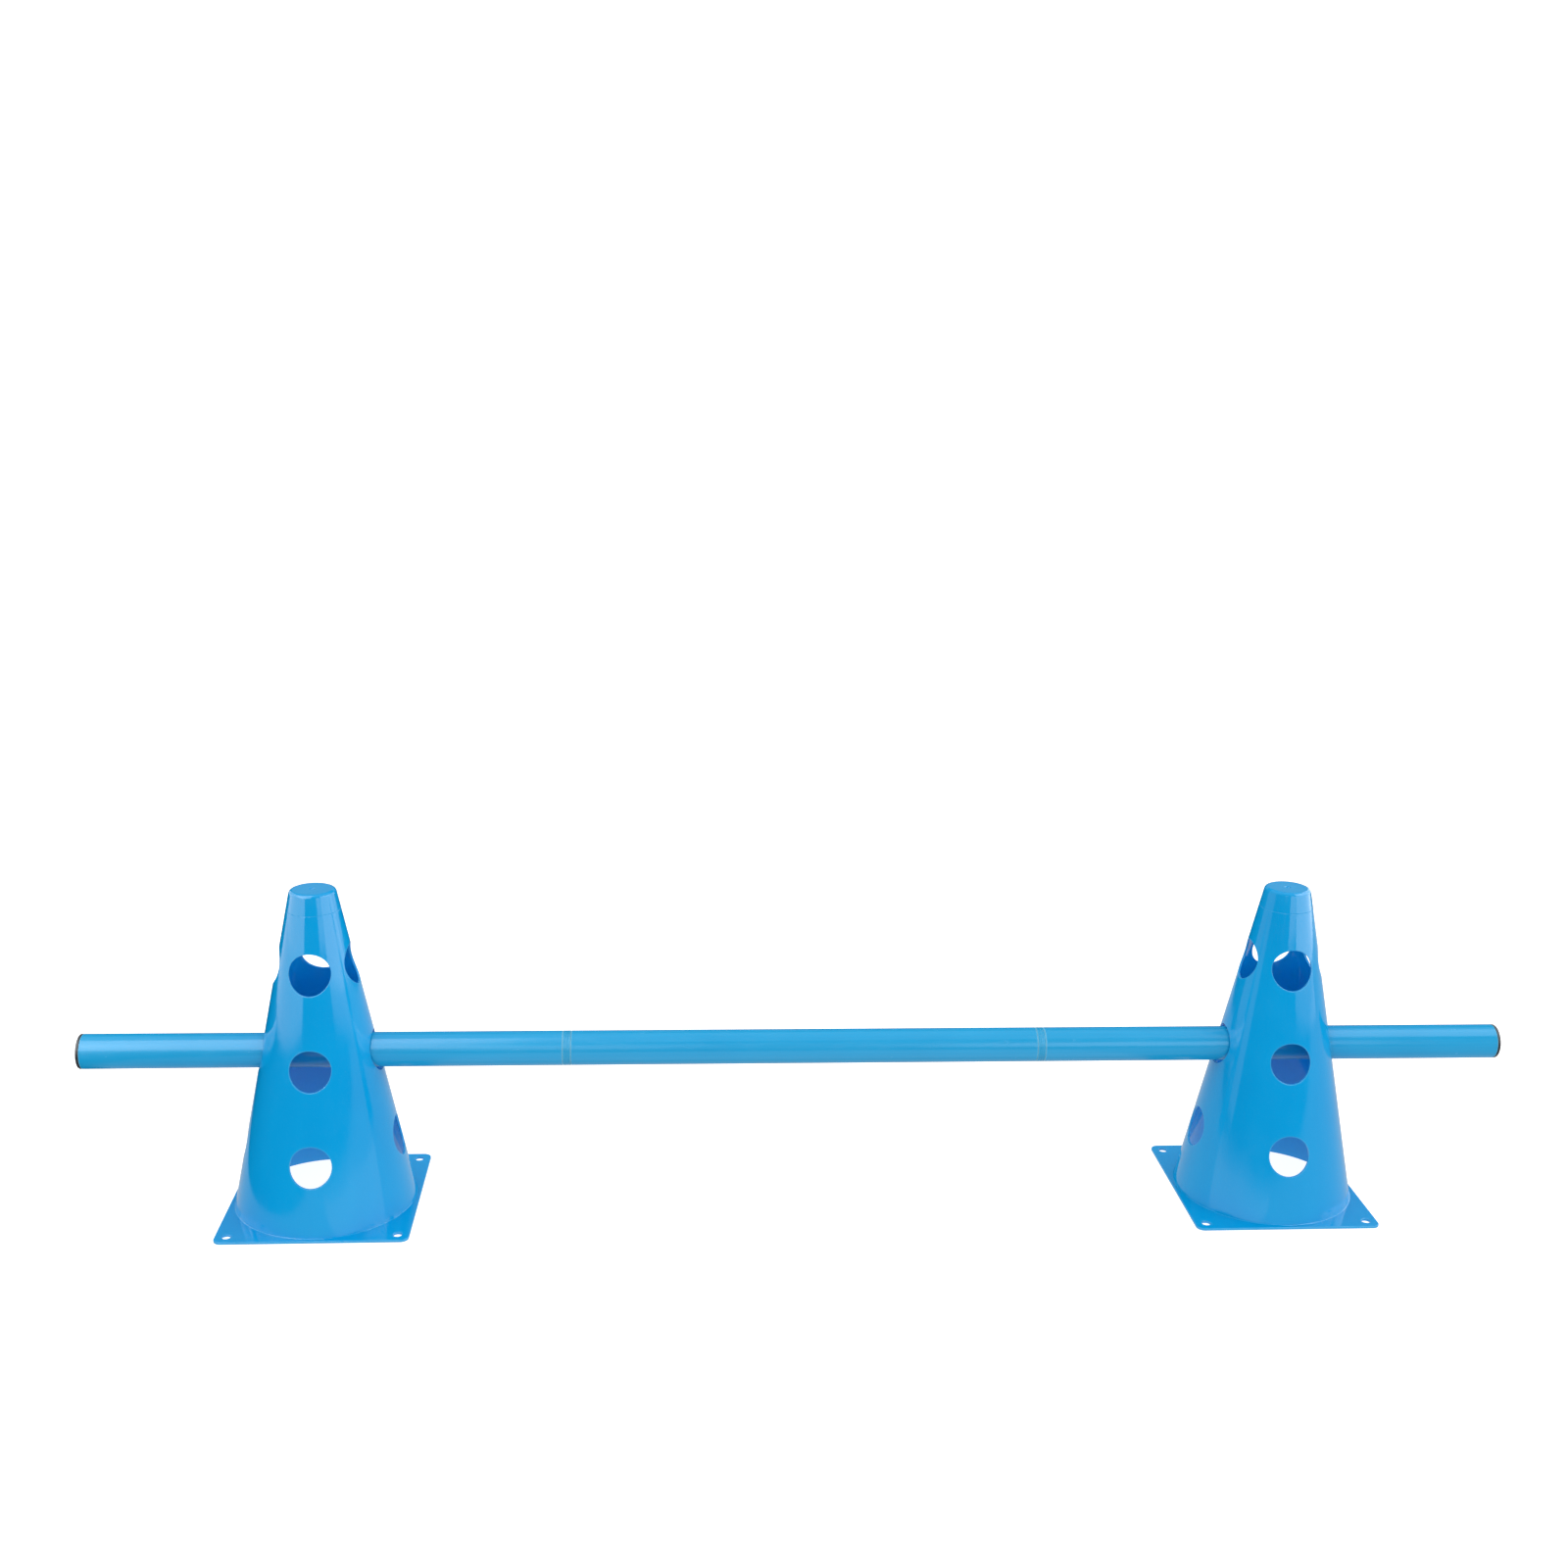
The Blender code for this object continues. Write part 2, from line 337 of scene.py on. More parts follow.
def holedPatch(parts, frameRows, centre):
    # Sheets and rims, ring by ring: outer border, hole, inner border. Point = place * rows + centre.
    # Edge (the share of the pale painted highlight) and inside go by the four parts: outer sheet,
    # its rim, the inner rim, inner sheet.
    points = np.concatenate([p for p, _ in parts])
    facing = np.concatenate([n for _, n in parts])
    rows, count = [len(p) for p, _ in parts], points.shape[1]
    edge = np.repeat((0.0, 1.0, 0.6, 0.0), rows)
    inside = np.repeat((0.0, 0.0, 1.0, 1.0), rows)
    edge[rows[0] - 1] = 0.5
    edge, inside = (np.repeat(values[:, None], count, 1) for values in (edge, inside))
    return patch(points @ frameRows + centre, facing @ frameRows, {"edge": edge, "inside": inside})


def windowTile(s, row, quarter, centre):
    # A quarter of the wall between two heights, with a round window bored square through it.
    # From the window's rim to the border, angle and height run in a straight line.
    k, a, rim, per = coneTaper(s), s["windowRadius"], s["windowRim"], s["perSide"]
    middle, lowest, highest = s["windowHeights"][row], s["rowEdges"][row], s["rowEdges"][row + 1]
    t, none, full = np.arange(per) / per, np.zeros(per), np.ones(per)
    borderAngle = (np.concatenate([t, full, 1 - t, none]) - 0.5) * quarterTurn
    borderHeight = lowest + (highest - lowest) * np.concatenate([none, t, full, 1 - t])
    phi = rimTurns(4 * per, per)
    spread = np.linspace(0, 1, s["windowRings"])[:, None] ** s["windowCrowd"]
    arc = np.linspace(0, quarterTurn, s["windowSteps"] + 1)[1:, None]

    def wallNormal(side, out, radius, sign):
        # (side / radius, out / radius, taper), made unit length
        way = np.stack([side / radius, out / radius, np.full(side.shape, k)], -1)
        return sign * way / math.hypot(1, k)

    def sheet(inset, share, sign):
        # side = wall radius * sin(angle) and out = wall radius * cos(angle), at each height
        up = middle + (a + rim) * np.sin(phi)
        angle = np.arcsin((a + rim) * np.cos(phi) / coneRadius(s, up, inset))
        angle, up = angle + share * (borderAngle - angle), up + share * (borderHeight - up)
        radius = coneRadius(s, up, inset)
        side, out = radius * np.sin(angle), radius * np.cos(angle)
        return np.stack([side, out, up], -1), wallNormal(side, out, radius, sign)

    def rimArc(inset, turn, sign):
        # reach = window radius + rim * (1 - sin turn), and depth = rim * (1 - cos turn)
        reach = a + rim * (1 - np.sin(turn))
        side, up = reach * np.cos(phi), middle + reach * np.sin(phi)
        radius = coneRadius(s, up, inset)
        out = np.sqrt(radius**2 - side**2)
        bore = np.stack([-np.cos(phi), 0 * phi, -np.sin(phi)], -1)
        wall = wallNormal(side, out, radius, sign)
        facing = np.cos(turn)[..., None] * wall + np.sin(turn)[..., None] * bore
        return np.stack([side, out - sign * rim * (1 - np.cos(turn)), up], -1), unit(facing)

    parts = (
        sheet(0.0, spread[::-1], 1.0),
        rimArc(0.0, arc, 1.0),
        rimArc(s["wall"], arc[::-1], -1.0),
        sheet(s["wall"], spread, -1.0),
    )
    return holedPatch(parts, quarterRows(quarter, -1.0), centre)


def baseOutline(s, inset):
    # A quarter of the rounded square, from the middle of one side to the middle of the next. On
    # the corner, point = corner's centre + radius * (cos psi, sin psi).
    straight, radius = s["half"] - s["cornerRadius"], s["cornerRadius"] - inset
    reach, steps = s["half"] - inset, s["sideSteps"]
    t = np.arange(steps + 1) / steps
    psi = np.linspace(0, quarterTurn, s["cornerSteps"] + 1)
    side = np.full(steps, reach)
    x = np.concatenate([side, straight + radius * np.cos(psi), straight * (1 - t[1:])])
    y = np.concatenate([straight * t[:-1], straight + radius * np.sin(psi), side])
    facing = np.concatenate([np.zeros(steps), psi, np.full(steps, quarterTurn)])
    return np.stack([x, y], -1), facing


def outlineReach(s, inset, angle):
    # Distance from the middle to the rounded square's edge, at an angle up to a quarter turn. On a
    # straight side it is reach / the larger of cos and sin. On the corner it is
    # far * cos(off) + sqrt(radius^2 - (far * sin(off))^2), with far the distance of the corner's
    # centre and off the angle from the diagonal.
    reach, radius = s["half"] - inset, s["cornerRadius"] - inset
    straight = reach - radius
    far, off = straight * math.sqrt(2), angle - math.pi / 4
    arc = far * np.cos(off) + np.sqrt(np.maximum(radius**2 - (far * np.sin(off)) ** 2, 0))
    flat = reach / np.maximum(np.cos(angle), np.sin(angle))
    return np.where(np.abs(off) > math.pi / 4 - math.atan2(straight, reach), flat, arc)


def baseCorner(s, quarter, centre, topRing, bottomRing):
    # A quarter of the base: top face, peg hole and bottom face. From the hole's rim to the
    # border, angle and share of the way out to the edge run in a straight line.
    per, rim, hole = s["perSide"], s["pegRim"], s["pegRadius"]
    outline, _ = baseOutline(s, s["edgeRounding"])
    footAngle = np.linspace(0, quarterTurn, per + 1)
    edgeAngle = np.arctan2(outline[:, 1], outline[:, 0])
    borderAngle = np.concatenate([footAngle[:-1], [quarterTurn] * 2, edgeAngle[:0:-1], [0.0] * 2])
    outward = np.ones(len(edgeAngle) - 1)
    borderShare = np.concatenate([np.zeros(per), [0.0, 0.5], outward, [1.0, 0.5]])
    count = len(borderAngle)
    phi = rimTurns(count, per)
    far = (s["half"] - s["pegInset"]) * math.sqrt(2)
    spread = np.linspace(0, 1, s["pegRings"])[:, None] ** s["pegCrowd"]
    arc = np.linspace(0, quarterTurn, s["pegSteps"] + 1)[1:, None]

    def sheet(ring, height, share, sign):
        # part = (radius - ring) / (edge - ring), blended to the border's share and turned back
        tangent, radial = (hole + rim) * np.cos(phi), far + (hole + rim) * np.sin(phi)
        angle = math.pi / 4 + np.arctan2(tangent, radial)
        edge = outlineReach(s, s["edgeRounding"], angle)
        part = (np.hypot(tangent, radial) - ring) / (edge - ring)
        angle, part = angle + share * (borderAngle - angle), part + share * (borderShare - part)
        radius = ring + part * (outlineReach(s, s["edgeRounding"], angle) - ring)
        up = np.full(angle.shape, height)
        points = np.stack([radius * np.cos(angle), radius * np.sin(angle), up], -1)
        return points, np.broadcast_to([0.0, 0.0, sign], points.shape)

    def rimArc(height, turn, sign):
        # the window's rim formula, on the diagonal of the corner
        reach, slant = hole + rim * (1 - np.sin(turn)), math.sqrt(0.5)
        tangent, radial = reach * np.cos(phi), far + reach * np.sin(phi)
        up = np.broadcast_to(height - sign * rim * (1 - np.cos(turn)), tangent.shape)
        points = np.stack([slant * (radial - tangent), slant * (radial + tangent), up], -1)
        boreX, boreY = slant * (np.cos(phi) - np.sin(phi)), -slant * (np.cos(phi) + np.sin(phi))
        lift = sign * np.cos(turn) * np.ones(count)
        facing = np.stack([np.sin(turn) * boreX, np.sin(turn) * boreY, lift], -1)
        return points, unit(facing)

    parts = (
        sheet(topRing, s["plate"], spread[::-1], 1.0),
        rimArc(s["plate"], arc, 1.0),
        rimArc(0.0, arc[::-1], -1.0),
        sheet(bottomRing, 0.0, spread, -1.0),
    )
    return holedPatch(parts, quarterRows(quarter), centre)


def baseEdge(s, centre):
    # The plate's edge, carried round the rounded square. On both of its roundings, inset =
    # rounding * (1 - sin turn) and drop from the face = rounding * (1 - cos turn).
    e, steps = s["edgeRounding"], s["edgeSteps"]
    arc = np.linspace(0, quarterTurn, steps + 1)
    turn = np.concatenate([arc, arc[::-1]])
    topHalf = np.arange(len(turn)) <= steps
    inset, drop = e * (1 - np.sin(turn)), e * (1 - np.cos(turn))
    up = np.where(topHalf, s["plate"] - drop, drop)
    lift = np.where(topHalf, np.cos(turn), -np.cos(turn))
    rings, facing = [], []
    for i in range(len(turn)):
        outline, way = baseOutline(s, inset[i])
        ring, normal = [], []
        for quarter in range(4):
            ring.append(outline[:-1] @ quarterRows(quarter)[:2, :2])
            angle = way[:-1] + quarter * quarterTurn
            normal.append(np.stack([np.cos(angle), np.sin(angle)], -1))
        ring, normal = np.concatenate(ring), np.concatenate(normal)
        rings.append(np.column_stack([ring, np.full(len(ring), up[i])]))
        facing.append(np.column_stack([normal * math.sin(turn[i]), np.full(len(ring), lift[i])]))
    points, facing = np.array(rings) + centre, np.array(facing)
    # the edge roundings of the base get the pale painted highlight
    paleSheenAndWear = np.repeat(np.where(turn > 0, s["edgeSheen"], 0.0)[:, None], points.shape[1], 1)
    return patch(points, facing, {"edge": paleSheenAndWear, "inside": 0 * paleSheenAndWear})


def makeCone(name, finish, body):
    s = coneShape
    low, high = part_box(name)
    centre = np.array([(low.x + high.x) / 2, (low.y + high.y) / 2, low.z])
    around, foot, top = 4 * s["perSide"], s["rowEdges"][0], s["rowEdges"][-1]
    tall, wall = s["height"], s["wall"]
    topRing = coneRadius(s, s["plate"]) + s["footLand"]
    bottomRing = coneRadius(s, 0, wall) + s["mouthLand"]
    seam, half = tall - s["seamDrop"], s["seamWidth"] / 2
    gate, gateFloor = s["gateRadius"], tall - s["gateDepth"]
    pip, pipTop = s["pipRadius"], tall - s["pipDrop"]
    neck = roundedProfile([
        (coneRadius(s, top), top, 0, 0),
        (coneRadius(s, seam - half), seam - half, s["seamShoulder"], 0),
        (coneRadius(s, seam, s["seamDepth"]), seam, s["seamRounding"], 0.6),
        (coneRadius(s, seam + half), seam + half, s["seamShoulder"], 0),
        (s["topRadius"], tall, s["topRounding"], 0.12),
        (gate, tall, s["gateRounding"], 0.3),
        (gate - s["gateSlope"], gateFloor, s["gateFillet"], 0),
        (pip, gateFloor, s["pipRounding"], 0),
        (pip - s["pipSlope"], pipTop, s["pipRounding"], 0.5),
        (0.0, pipTop, 0, 0.5),
    ])
    roof = roundedProfile([
        (0.0, tall - s["roof"], 0, 0),
        (coneRadius(s, tall - s["roof"], wall), tall - s["roof"], s["topRounding"] - wall, 0),
        (coneRadius(s, top, wall), top, 0, 0),
    ])
    footOut = roundedProfile([
        (topRing, s["plate"], 0, 0),
        (coneRadius(s, s["plate"]), s["plate"], s["footFillet"], 0),
        (coneRadius(s, foot), foot, 0, 0),
    ])
    footIn = roundedProfile([
        (coneRadius(s, foot, wall), foot, 0, 0),
        (coneRadius(s, 0, wall), 0.0, s["mouthRounding"], 0.4),
        (bottomRing, 0.0, 0, 0),
    ])
    patches = [turned(neck, centre, "z", around), turned(footOut, centre, "z", around)]
    patches += [turned(p, centre, "z", around, inside=1.0) for p in (roof, footIn)]
    patches += [windowTile(s, row, quarter, centre) for row in range(3) for quarter in range(4)]
    patches += [baseCorner(s, quarter, centre, topRing, bottomRing) for quarter in range(4)]
    patches.append(baseEdge(s, centre))
    piece = makePiece(name + "_shell", patches, finish, body)
    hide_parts(name)


def alongX(name):
    # (middle, half length, radius) of a solid that lies along X
    low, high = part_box(name)
    return np.array((low + high) / 2), (high.x - low.x) / 2, (high.z - low.z) / 2


tubeShape = {
    "bore": 0.0108,
    "cutRounding": 0.00025,
    "cutEndSheen": 0.0004,                 # how far the pale painted highlight of a cut end reaches along the tube
    "reach": 0.00011,                  # how far a tube's end stands past its solid, to the collar
    "around": 96,
}


def makeTube(name, finish, body):
    s = tubeShape
    centre, half, radius = alongX(name)
    half += s["reach"]
    r, bore, sound = s["cutRounding"], s["bore"], half - s["cutEndSheen"]
    profile = roundedProfile([
        (radius, -half, r, 1.0),
        (radius, -sound, 0, 0),
        (radius, sound, 0, 0),
        (radius, half, r, 1.0),
        (bore, half, r, 0.8),
        (bore, sound, 0, 0),
        (bore, -sound, 0, 0),
        (bore, -half, r, 0.8),
    ], closed=True)
    tube = turned(profile, centre, "x", s["around"], closed=True)
    piece = makePiece(name + "_tube", [tube], finish, body)
    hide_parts(name)


connectorShape = {
    "collar": 0.0055,                  # width of the ring that shows between two tubes
    "collarRounding": 0.0002,
    # width of the pale painted highlight at each edge of the collar
    "collarEdgeSheen": 0.0004,
    "collarRoot": 0.0001,              # rounding where the collar meets a spigot
    "groovePlaces": (-0.0014, 0.0, 0.0014),
    "grooveDepth": 0.0001,
    "grooveHalf": 0.0002,
    "grooveRounding": 0.0001,
    "spigot": 0.035,
    "spigotRadius": 0.0105,
    "spigotBore": 0.0089,
    "spigotNose": 0.001,
    "rounding": 0.0003,
    "ribPlaces": (0.009, 0.019, 0.029),
    "ribHeight": 0.00014,              # raised rings on a spigot, which grip the bore
    "ribHalf": 0.0009,
    "around": 96,
}


def makeConnector(name, finish, body):
    # A collar as wide as the tubes, with fine turned grooves, between two ribbed hollow spigots.
    # One side's corners go from the spigot's end in to the collar, and the other side mirrors them.
    s = connectorShape
    centre, _, radius = alongX(name)
    collar, plug, r = s["collar"] / 2, s["spigotRadius"], s["rounding"]
    nose, rib = plug - s["spigotNose"], plug + s["ribHeight"]
    end = collar + s["spigot"]
    side = [(s["spigotBore"], end, r, 0.3), (nose, end, r, 0.3), (plug, end - s["spigotNose"], r, 0.2)]
    for place in reversed(s["ribPlaces"]):
        x, half = collar + place, s["ribHalf"]
        side += [(plug, x + half, r, 0), (rib, x, r, 0.3), (plug, x - half, r, 0)]
    side += [(plug, collar, s["collarRoot"], 0), (radius, collar, s["collarRounding"], 1.0)]
    side += [(radius, collar - s["collarEdgeSheen"], 0, 0)]
    corners = [(reach, -x, rounding, sheenAndWear) for reach, x, rounding, sheenAndWear in side]
    for x in s["groovePlaces"]:
        half, r = s["grooveHalf"], s["grooveRounding"]
        corners += [(radius, x - half, r, 0), (radius - s["grooveDepth"], x, r, 0)]
        corners += [(radius, x + half, r, 0)]
    profile = roundedProfile(corners + side[::-1], closed=True, steps=3)
    plugAndCollar = turned(profile, centre, "x", s["around"], closed=True)
    piece = makePiece(name + "_plug", [plugAndCollar], finish, body)
    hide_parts(name)


capShape = {
    "head": 0.0025,
    "headRounding": 0.0011,
    "brimRounding": 0.00025,           # of the edge that meets the tube
    "crown": 0.0004,                   # how far the middle of the head stands out past its rim
    "crownShare": 0.55,                # of the radius, where the crown levels off
    "crownRounding": 0.02,
    "plug": 0.0145,
    "plugRadius": 0.0105,
    "plugRounding": 0.0004,
    "plugRoot": 0.0001,
    "plugBore": 0.0091,
    "boreRounding": 0.0003,
    "boreRoot": 0.0002,
    "around": 96,
}


def makeCap(name, finish, body):
    # Height runs out through the head: 0 is the outer face, and the plug goes down from there.
    s = capShape
    centre, half, radius = alongX(name)
    out = 1.0 if centre[0] > 0 else -1.0
    face = centre + np.array([out * half, 0.0, 0.0])
    head, plug = -s["head"], -s["plug"]
    profile = roundedProfile([
        (0.0, head, 0, 0),
        (s["plugBore"], head, s["boreRoot"], 0),
        (s["plugBore"], plug, s["boreRounding"], 0.2),
        (s["plugRadius"], plug, s["plugRounding"], 0.3),
        (s["plugRadius"], head, s["plugRoot"], 0),
        (radius, head, s["brimRounding"], 0.8),
        (radius, -s["crown"], s["headRounding"], 0.25),
        (radius * s["crownShare"], 0.0, s["crownRounding"], 0),
        (0.0, 0.0, 0, 0),
    ])
    points, normals, sheenAndWear = profile
    flip = np.array([1.0, out])
    cap = turned((points * flip, normals * flip, sheenAndWear), face, "x", s["around"])
    piece = makePiece(name + "_moulding", [cap], finish, body)
    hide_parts(name)


conePaint = {
    "deep": (0.0010, 0.280, 0.612),
    "pale": (0.0022, 0.307, 0.645),
    # painted light: the inside walls get a brighter, bluer copy of the plastic, which makes up for the
    # shade inside the cone
    "hollow": (0.0010, 0.332, 0.805),
    # pale colour of the painted highlight on rims and edges, also used for the specks
    "paleSheenAndWear": (0.20, 0.52, 0.80),
    "roughness": 0.075,
    "rimShare": 0.24,                  # of the pale colour on the rims, a painted highlight
    "speckShare": 0.05,
    "wave": 0.00006,                   # depth of the slow unevenness of the moulded wall, in metres
    "peel": 0.000004,                  # depth of the fine orange peel
    "scratch": 0.000006,
}


def coneFinish():
    p = conePaint
    f = Finish("azure gloss plastic", {"IOR": 1.46, "Specular IOR Level": 0.5})
    here, edge = f.place(), f.mask("edge")
    cloud = f.noise(here, 14.0, 3.0, 0.55)
    flow = f.noise(f.place((1.0, 1.0, 0.22)), 60.0)                   # drawn out up the wall
    tone = f.ramp(cloud * 0.6 + flow * 0.4, (0.32, 0.0), (0.70, 1.0))
    colour = f.blend(tone, p["deep"], p["pale"])
    # painted light: inside surfaces take the brighter hollow colour
    colour = f.blend(f.mask("inside"), colour, p["hollow"])
    # painted highlight: rims and edges are paled towards that colour, in patches like wear
    rimPatches = f.noise(here, 420.0, 3.0, 0.6)
    paleSheenAndWear = edge * (rimPatches * 0.9 + 0.25) * p["rimShare"]
    specks = f.ramp(f.noise(here, 1500.0, 0.0), (0.74, 0.0), (0.80, 1.0))
    colour = f.blend(paleSheenAndWear + specks * p["speckShare"], colour, p["paleSheenAndWear"])
    rub = f.ramp(f.noise(here, 35.0, 4.0, 0.65), (0.45, 0.0), (0.75, 1.0))
    strands = f.place((1.0, 1.0, 0.08))
    hair = f.ramp(f.noise(strands, 900.0, twist=0.4), (0.60, 0.0), (0.72, 1.0))
    f.feed("Base Color", colour)
    f.feed("Roughness", rub * 0.05 + hair * 0.04 + edge * 0.10 + p["roughness"])
    slow = f.bump(f.noise(f.place((1.0, 1.0, 0.35)), 32.0, 2.0, 0.4), p["wave"])
    fine = f.bump(f.noise(here, 1300.0), p["peel"], slow)
    f.feed("Normal", f.bump(1 - hair, p["scratch"], fine))            # hairlines are cut in
    return f


polePaint = {
    "deep": (0.0030, 0.288, 0.570),
    "pale": (0.0080, 0.320, 0.615),
    # pale colour of the painted highlight on the cut ends, also used for the dust specks
    "sheenAndDust": (0.26, 0.62, 0.80),
    "roughness": 0.19,
    "edgeShare": 0.65,                 # of the pale colour on the cut ends, a painted highlight
    "dustShare": 0.16,
    "streak": 0.000010,                # depth of the lines drawn along the tube, in metres
    "peel": 0.000003,
}


def poleFinish():
    p = polePaint
    f = Finish("azure drawn tube", {"IOR": 1.48, "Specular IOR Level": 0.5})
    here, drawn, edge = f.place(), f.place((0.012, 1.0, 1.0)), f.mask("edge")
    lines = f.noise(drawn, 700.0, 3.0, 0.6)
    bands = f.noise(drawn, 120.0)
    cloud = f.noise(here, 18.0, 3.0)
    tone = f.ramp(lines * 0.35 + bands * 0.3 + cloud * 0.35, (0.36, 0.0), (0.64, 1.0))
    colour = f.blend(tone, p["deep"], p["pale"])
    dust = f.ramp(f.noise(here, 1000.0, 1.0), (0.77, 0.0), (0.81, 1.0))
    dusty = f.ramp(f.noise(here, 9.0), (0.48, 0.0), (0.66, 1.0))      # where the dust lies
    # painted highlight on the cut ends, and dust specks, in the pale colour
    colour = f.blend(edge * p["edgeShare"] + dust * dusty * p["dustShare"], colour, p["sheenAndDust"])
    scuff = f.ramp(f.noise(f.place((0.3, 1.0, 1.0)), 240.0, 4.0, 0.6), (0.50, 0.0), (0.80, 1.0))
    f.feed("Base Color", colour)
    f.feed("Roughness", scuff * 0.08 + lines * 0.05 + edge * 0.15 + p["roughness"])
    fine = f.bump(f.noise(here, 1500.0), p["peel"])
    f.feed("Normal", f.bump(lines, p["streak"], fine))
    return f


collarPaint = {
    "deep": (0.0030, 0.268, 0.510),
    "pale": (0.0080, 0.300, 0.560),
    # pale colour of the painted highlight on the collar's edges
    "sheenAndDust": (0.24, 0.62, 0.78),
    "roughness": 0.21,
    "edgeShare": 0.55,
    "turning": 0.000015,               # depth of the turned lines, in metres
    "peel": 0.000008,
}


def collarFinish():
    p = collarPaint
    f = Finish("azure collar plastic", {"IOR": 1.47, "Specular IOR Level": 0.5})
    here, edge = f.place(), f.mask("edge")
    turnedLines = f.noise(f.place((1.0, 0.05, 0.05)), 1400.0, rough=0.6)
    cloud = f.noise(here, 90.0, 3.0)
    tone = f.ramp(cloud * 0.6 + turnedLines * 0.4, (0.36, 0.0), (0.64, 1.0))
    colour = f.blend(tone, p["deep"], p["pale"])
    # painted highlight on the collar's edges
    f.feed("Base Color", f.blend(edge * p["edgeShare"], colour, p["sheenAndDust"]))
    f.feed("Roughness", turnedLines * 0.12 + edge * 0.1 + p["roughness"])
    fine = f.bump(f.noise(here, 1200.0), p["peel"])
    f.feed("Normal", f.bump(turnedLines, p["turning"], fine))
    return f


capPaint = {
    "deep": (0.0045, 0.0060, 0.0095),
    "pale": (0.0130, 0.0170, 0.0240),
    "paleSheenAndWear": (0.060, 0.075, 0.090),
    "roughness": 0.34,
    "rubShare": 0.7,                   # of the worn colour where an edge is rubbed
    "edgeShare": 0.2,
    "grain": 0.000014,
}


def capFinish():
    p = capPaint
    f = Finish("black cap plastic", {"IOR": 1.5, "Specular IOR Level": 0.5})
    here, edge = f.place(), f.mask("edge")
    tone = f.ramp(f.noise(here, 160.0, 3.0, 0.55), (0.35, 0.0), (0.68, 1.0))
    colour = f.blend(tone, p["deep"], p["pale"])
    rub = f.ramp(f.noise(here, 420.0, 4.0, 0.6), (0.45, 0.0), (0.75, 1.0))
    paleSheenAndWear = edge * rub * p["rubShare"] + edge * p["edgeShare"]
    f.feed("Base Color", f.blend(paleSheenAndWear, colour, p["paleSheenAndWear"]))
    f.feed("Roughness", rub * 0.16 + tone * 0.06 + p["roughness"])
    f.feed("Normal", f.bump(f.noise(here, 1700.0), p["grain"]))
    return f


cones = coneFinish()
makeCone("left_cone", cones, "left_stand")
makeCone("right_cone", cones, "right_stand")
print("cones made")

tubes = poleFinish()
makeTube("pole_left", tubes, "left_section")
makeTube("pole_middle", tubes, "middle_section")
makeTube("pole_right", tubes, "right_section")
collars = collarFinish()
for name in ("left_connector", "right_connector"):
    makeConnector(name, collars, "pole_plugs")
caps = capFinish()
makeCap("left_end_cap", caps, "left_section")
makeCap("right_end_cap", caps, "right_section")
print("pole made")


floorPlan = {
    "reach": 40.0,
    "squares": 40,
    "tone": (0.34, 0.342, 0.345),
    "mottle": 0.04,                    # how much paler the palest patches are
    "grain": 0.00004,
    "glow": 0.93,                      # a light table, which keeps the object's shadow faint
}


def makeFloor():
    # a flat grid with its middle under the object: x and y run evenly from -reach to reach
    s, count = floorPlan, floorPlan["squares"]
    steps = s["reach"] * np.linspace(-1, 1, count + 1)
    x, y = np.meshgrid(steps, steps)
    points = np.stack([x, y, np.zeros(x.shape)], -1).reshape(-1, 3)
    faces = ringFaces(count + 1, count + 1, False).reshape(count, count + 1, 4)[:, :count].reshape(-1, 4)
    mesh = bpy.data.meshes.new("floor")
    mesh.from_pydata(points.tolist(), [], faces.tolist())
    white = (1.0, 1.0, 1.0, 1.0)
    f = Finish("pale floor", {"Roughness": 0.6, "Emission Color": white, "Emission Strength": s["glow"]})
    cloud = f.noise(f.place(), 3.0, 3.0)
    f.feed("Base Color", f.blend(cloud, s["tone"], tuple(c + s["mottle"] for c in s["tone"])))
    f.feed("Normal", f.bump(f.noise(f.place(), 220.0), s["grain"]))
    mesh.materials.append(f.material)
    floor = bpy.data.objects.new("floor", mesh)
    bpy.context.scene.collection.objects.link(floor)
    floor.visible_glossy = floor.visible_diffuse = floor.visible_shadow = False


softLight = {
    "fill": 1.33,                      # even light from above, which gloss surfaces don't mirror
    "lift": 0.78,                      # and from below, as from a pale table
    "change": (-0.30, -0.04),          # heights of the way looked between which lift turns to fill
    "lean": 0.17,                      # how much more comes from the right than from the middle
}


def makeWorld():
    # Brightness = level + lean * x of the way looked. Level is lift well below the horizon, and
    # rises to fill just under it.
    s = softLight
    world = bpy.data.worlds.new("studio")
    bpy.context.scene.world = world
    world.use_nodes = True
    sky = Nodes(world.node_tree)
    looked = sky.node("ShaderNodeTexCoord", output="Generated")
    across, up = (sky.node("ShaderNodeSeparateXYZ", {}, {0: looked}, axis) for axis in ("X", "Z"))
    lowest, highest = s["change"]
    limits = {"From Min": lowest, "From Max": highest, "To Min": s["lift"], "To Max": s["fill"]}
    level = sky.node("ShaderNodeMapRange", {}, {"Value": up, **limits}, "Result")
    background = sky.tree.nodes["Background"]
    background.inputs["Color"].default_value = (1.0, 1.0, 1.0, 1.0)
    sky.put(background.inputs["Strength"], across * s["lean"] + level)
    world.cycles_visibility.glossy = False


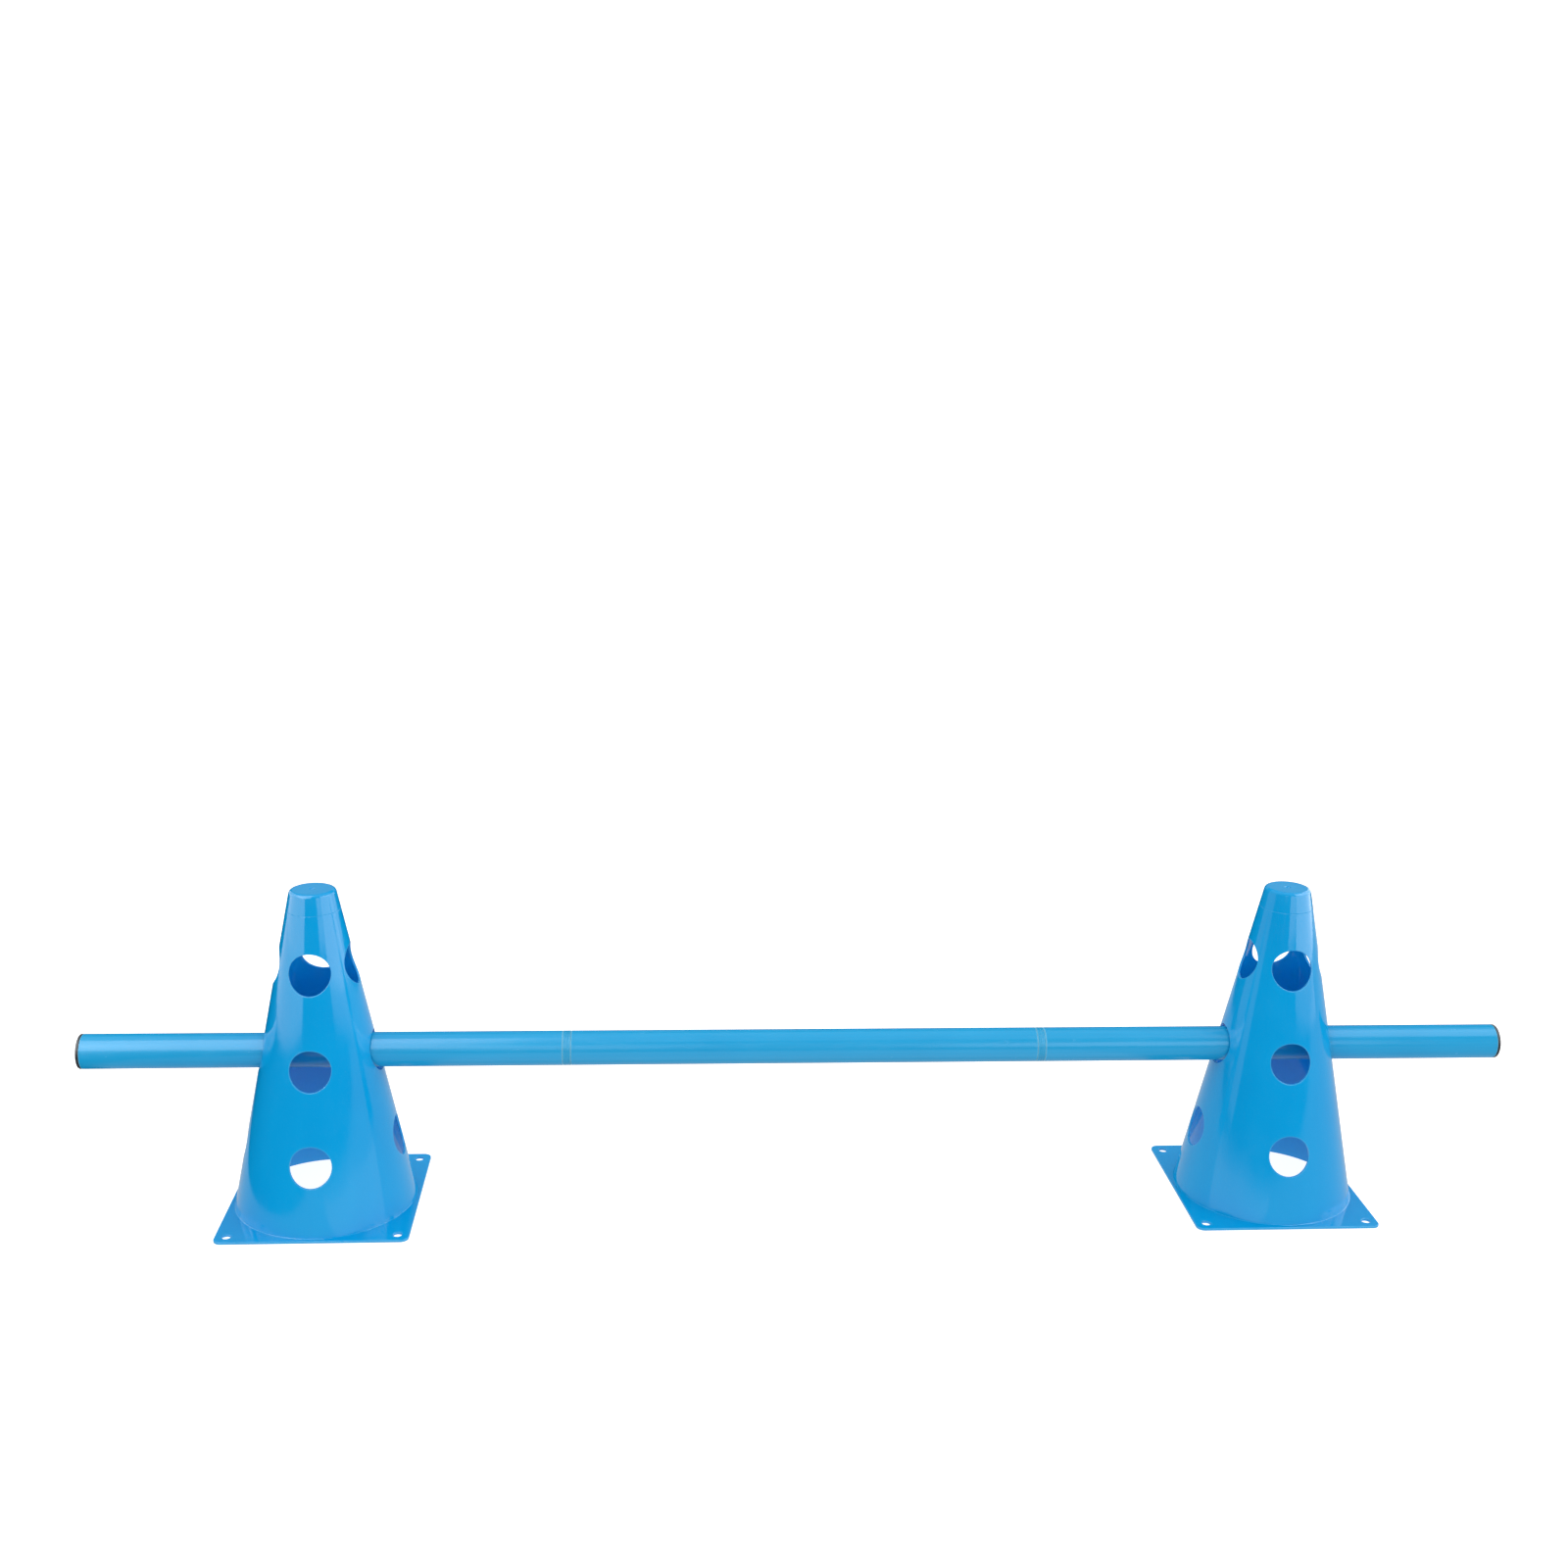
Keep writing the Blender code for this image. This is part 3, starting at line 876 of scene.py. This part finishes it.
upright, lying, leaning = (0.0, 0.0, 1.0), (0.0, 1.0, 0.0), (0.0, 1.0, 0.40)
panels = {
    # name: (start and end of the bottom edge, way up from it, height, brightness, and the piece
    # that a flag shades from it, where there is one)
    "left low": ((-1.30, 0.50, -0.01), (-0.90, -1.20, 0.15), upright, 0.10, 2.0, "right_cone_shell"),
    "left side": ((-1.30, 0.50, 0.09), (-0.90, -1.20, 0.25), upright, 1.4, 2.8, "right_cone_shell"),
    "left back": ((-1.25, 1.70, 0.20), (-1.30, 0.50, 0.12), upright, 1.3, 1.4, "right_cone_shell"),
    "far left": ((-1.30, 0.90, -0.03), (-1.20, -0.45, -0.03), upright, 1.5, 0.65, "left_cone_shell"),
    "neck": ((-0.10, -1.50, 0.42), (-0.42, -1.50, 0.42), upright, 0.9, 1.5, "left_cone_shell"),
    "right side": ((1.30, 0.50, 0.05), (0.95, -1.30, 0.24), upright, 1.5, 3.2, "pole_right_tube"),
    "right back": ((1.25, 1.70, 0.0), (1.30, 0.50, 0.03), upright, 1.4, 2.0, "pole_right_tube"),
    "right low": ((1.20, -0.10, 0.05), (0.95, -1.30, 0.17), upright, 0.07, 1.1),
    "right front": ((0.95, -1.35, 0.29), (0.32, -1.35, 0.29), upright, 0.7, 2.1),
    "left above": ((-1.55, -1.15, 0.62), (-0.40, -1.30, 0.70), leaning, 1.45, 3.7, "right_cone_shell"),
    "right above": ((1.90, -0.75, 1.20), (0.66, -0.75, 1.20), lying, 1.15, 1.75),
    "ceiling": ((-1.8, -1.2, 2.2), (1.8, -1.2, 2.2), lying, 3.0, 0.6),
    "back": ((-0.86, 1.6, 0.62), (1.4, 1.6, 0.62), upright, 0.5, 0.30),
    "near table": ((-0.27, -0.60, -0.009), (0.27, -0.60, -0.009), lying, 0.55, 0.55),
    "table": ((-0.52, -1.00, -0.01), (2.60, -1.00, -0.01), lying, 1.7, 0.60),
}
objectMiddle = Vector((0.0, 0.0, 0.1))


def makePanel(name, start, end, up, height, brightness, shaded=None):
    # A flat panel over its bottom edge, facing the object. Its brightness is what a mirror sees:
    # power = brightness * pi * area. The panels light only the shine; the fill lights the colour.
    start, end, up = Vector(start), Vector(end), Vector(up)
    along = (end - start).normalized()
    rise = (up - along * up.dot(along)).normalized()
    middle = (start + end) / 2 + rise * height / 2
    away = along.cross(rise)
    if away.dot(middle - objectMiddle) < 0:
        along, away = -along, -away
    width = (end - start).length
    light = bpy.data.lights.new(name, "AREA")
    light.shape = "RECTANGLE"
    light.size, light.size_y = width, height
    light.energy = brightness * math.pi * width * height
    panel = bpy.data.objects.new(name, light)
    bpy.context.scene.collection.objects.link(panel)
    turn = Matrix((along, rise, away)).transposed().to_4x4()
    panel.matrix_world = Matrix.Translation(middle) @ turn
    panel.visible_camera = False
    panel.visible_diffuse = False
    if shaded:
        flag = bpy.data.collections.new("shaded from " + name)
        flag.objects.link(bpy.data.objects[shaded])
        panel.light_linking.receiver_collection = flag
        flag.collection_objects[0].light_linking.link_state = "EXCLUDE"


cameraPlace = {
    "location": (-0.0996, -1.18844, 0.61268),
    "yaw": -0.0681662,                 # turned from +Y towards +X when negative, in radians
    "pitch": 0.2536736,                # down
    "roll": 0.0191972,
    "lens": 41.666,
    "sensor": 36.0,
    "clip": (0.01, 100.0),
}


def makeCamera():
    # forward from yaw and pitch; right and up from forward, then turned about it by the roll
    s = cameraPlace
    yaw, pitch, roll = s["yaw"], s["pitch"], s["roll"]
    run = math.cos(pitch)
    forward = Vector((-math.sin(yaw) * run, math.cos(yaw) * run, -math.sin(pitch)))
    right = Vector((math.cos(yaw), math.sin(yaw), 0.0))
    up = right.cross(forward)
    turnedRight = math.cos(roll) * right + math.sin(roll) * up
    turnedUp = -math.sin(roll) * right + math.cos(roll) * up
    data = bpy.data.cameras.new("camera")
    data.lens, data.sensor_width, data.sensor_fit = s["lens"], s["sensor"], "HORIZONTAL"
    data.dof.use_dof = False
    data.clip_start, data.clip_end = s["clip"]
    camera = bpy.data.objects.new("camera", data)
    bpy.context.scene.collection.objects.link(camera)
    turn = Matrix((turnedRight, turnedUp, -forward)).transposed().to_4x4()
    camera.matrix_world = Matrix.Translation(s["location"]) @ turn
    bpy.context.scene.camera = camera


makeFloor()
makeWorld()
for name, values in panels.items():
    makePanel(name, *values)
makeCamera()
bpy.context.scene.view_settings.view_transform = "Standard"
print("studio made")
